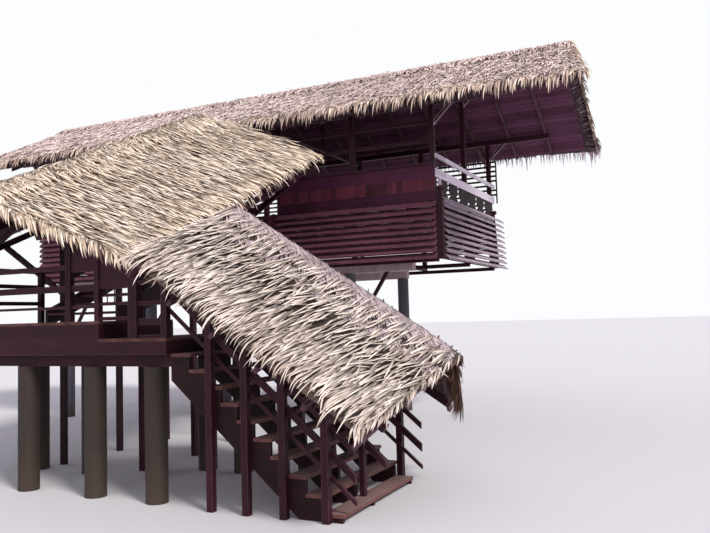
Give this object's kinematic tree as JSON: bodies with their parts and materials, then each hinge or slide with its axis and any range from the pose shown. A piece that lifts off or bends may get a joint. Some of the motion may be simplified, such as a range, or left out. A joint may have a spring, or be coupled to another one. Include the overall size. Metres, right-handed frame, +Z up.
{
  "type": "stilt house",
  "caption": "Timber pavilion on round columns under a long thatched gable roof, reached by two thatch-roofed flights of steps and a railed landing.",
  "frame": {"origin": "centre of the foot of the near column closest to the front wall, on the level ground", "axes": "+X along the main ridge towards the slatted front, +Y from the near long wall to the far one, +Z up"},
  "size_m": [16.84, 13.6861, 8.9299],
  "materials": {
    "dark_timber": "dark reddish-brown stain, satin",
    "wall_boards": "reddish-brown stained boards",
    "slat_timber": "reddish-brown stained slats",
    "pale_painted_timber": "pale lilac paint, chalky",
    "floor_timber": "worn stained boards",
    "soffit_timber": "stained boards",
    "column_concrete": "grey painted concrete",
    "pier_concrete": "weathered brown-grey concrete",
    "thatch": "dry palm leaf thatch",
    "ridge_thatch": "dry palm leaf ridge cap"
  },
  "bodies": {
    "root": {"round_columns": "column_concrete", "concrete_beams": "column_concrete", "lower_frame": "dark_timber", "column_braces": "dark_timber", "wall_posts": "dark_timber", "ridge_posts": "dark_timber", "floor_frame": "dark_timber", "floor_boards": "floor_timber", "near_wall_boards": "wall_boards", "near_wall_sill": "wall_boards", "near_wall_rails": "dark_timber", "side_skirt_slats": "slat_timber", "front_skirt_slats": "slat_timber", "front_stub_posts": "dark_timber", "front_rails": "pale_painted_timber", "front_cutout_balusters": "wall_boards", "far_side_bars": "dark_timber", "back_wall_boards": "wall_boards", "wall_plates": "dark_timber", "ridge_beam": "dark_timber", "roof_rafters": "dark_timber", "soffit_boards": "soffit_timber", "knee_braces": "dark_timber", "main_thatch": "thatch", "ridge_caps": "ridge_thatch", "upper_flight_strings": "dark_timber", "upper_flight_treads": "floor_timber", "upper_flight_posts": "dark_timber", "upper_flight_rails": "dark_timber", "flight_roof_beams": "dark_timber", "flight_rafters": "dark_timber", "flight_roof_struts": "dark_timber", "flight_thatch": "thatch", "landing_piers": "pier_concrete", "landing_frame": "dark_timber", "landing_floor": "floor_timber", "landing_posts": "dark_timber", "landing_rails": "wall_boards", "lower_flight_strings": "dark_timber", "lower_flight_treads": "floor_timber", "lower_flight_posts": "dark_timber", "lower_flight_rails": "dark_timber", "stair_roof_beams": "dark_timber", "stair_rafters": "dark_timber", "stair_thatch": "thatch"}
  },
  "joints": []
}
